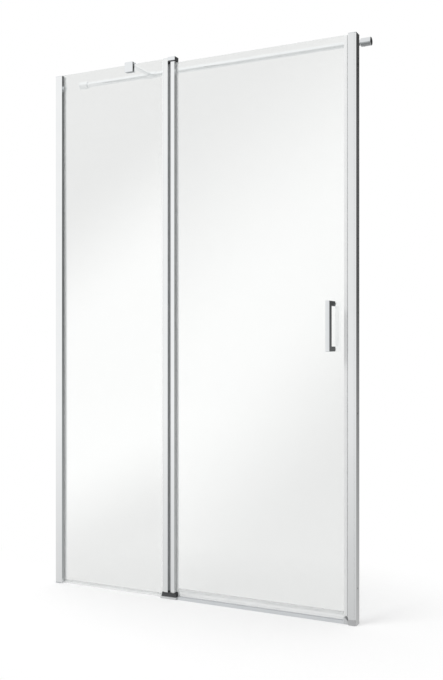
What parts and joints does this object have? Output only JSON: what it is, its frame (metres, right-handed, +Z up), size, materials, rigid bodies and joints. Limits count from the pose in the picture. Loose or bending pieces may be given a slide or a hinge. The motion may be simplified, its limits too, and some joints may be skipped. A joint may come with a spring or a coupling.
{
  "type": "shower door with fixed side panel",
  "caption": "Chrome-framed recess shower door: narrow fixed glass panel, hinge post, outward pivot door with square U handle, magnetic closing profile and overhead stabiliser bar.",
  "frame": {"origin": "at the left wall, in the middle plane of the glass, at the level of the tray", "axes": "+X from the left wall to the right wall, +Y into the shower, +Z up"},
  "size_m": [1.2, 0.2275, 1.9655],
  "materials": {
    "polished_aluminium": "polished, chrome look",
    "mill_aluminium": "satin",
    "chrome_metal": "polished",
    "chrome_plastic": "chrome plated",
    "steel": "satin",
    "clear_glass": "clear, polished edges",
    "clear_seal": "clear flexible plastic",
    "grey_rubber": "matte",
    "dark_plastic": "satin",
    "grey_plastic": "satin",
    "white_plastic": "satin",
    "magnet_core": "matte"
  },
  "bodies": {
    "frame": {"left_wall_channel": "mill_aluminium", "right_wall_channel": "polished_aluminium", "left_glazing_profile": "polished_aluminium", "left_top_cap": "chrome_plastic", "left_bottom_cap": "chrome_plastic", "left_fixing_screws": "steel", "right_fixing_screws": "steel", "left_glazing_gaskets": "clear_seal", "post_glazing_gaskets": "clear_seal", "fixed_glass": "clear_glass", "fixed_panel_seal": "clear_seal", "hinge_post": "polished_aluminium", "post_gap_seal": "grey_rubber", "top_pivot_bracket": "chrome_metal", "upper_bearing_plate": "dark_plastic", "upper_pivot_pin": "steel", "lower_pivot_pin": "steel", "pivot_foot_base": "dark_plastic", "pivot_foot_housing": "dark_plastic", "foot_screws": "steel", "pivot_thrust_washer": "white_plastic", "post_fixing_screws": "steel", "closing_profile": "polished_aluminium", "closing_magnet_strip": "grey_rubber", "closing_magnet": "magnet_core", "closing_top_cap": "chrome_plastic", "closing_foot_cap": "dark_plastic", "threshold_strip": "chrome_metal", "threshold_end_block": "grey_plastic", "clamp_front_jaw": "chrome_metal", "clamp_rear_jaw": "chrome_metal", "clamp_pads": "clear_seal", "clamp_screws": "steel", "brace_arm": "chrome_metal", "brace_tee": "chrome_metal", "brace_bar": "chrome_metal", "left_bar_holder": "chrome_metal", "right_bar_holder": "chrome_metal", "bar_grub_screws": "steel"},
    "door": {"door_stile": "polished_aluminium", "stile_top_plug": "grey_plastic", "stile_bottom_plug": "grey_plastic", "upper_pivot_bush": "white_plastic", "lower_pivot_bush": "white_plastic", "stile_glazing_gaskets": "clear_seal", "door_glass": "clear_glass", "door_bottom_seal": "clear_seal", "door_magnetic_seal": "clear_seal", "door_magnet": "magnet_core", "handle": "chrome_metal", "handle_glass_bushes": "white_plastic", "handle_screws": "steel", "handle_back_caps": "chrome_metal"}
  },
  "joints": [
    {"name": "door_pivot", "type": "hinge", "parent": "frame", "child": "door", "pos_m": [0.51525, -0.0114, 0], "axis": [0, 0, -1], "range_deg": [0, 110]}
  ]
}
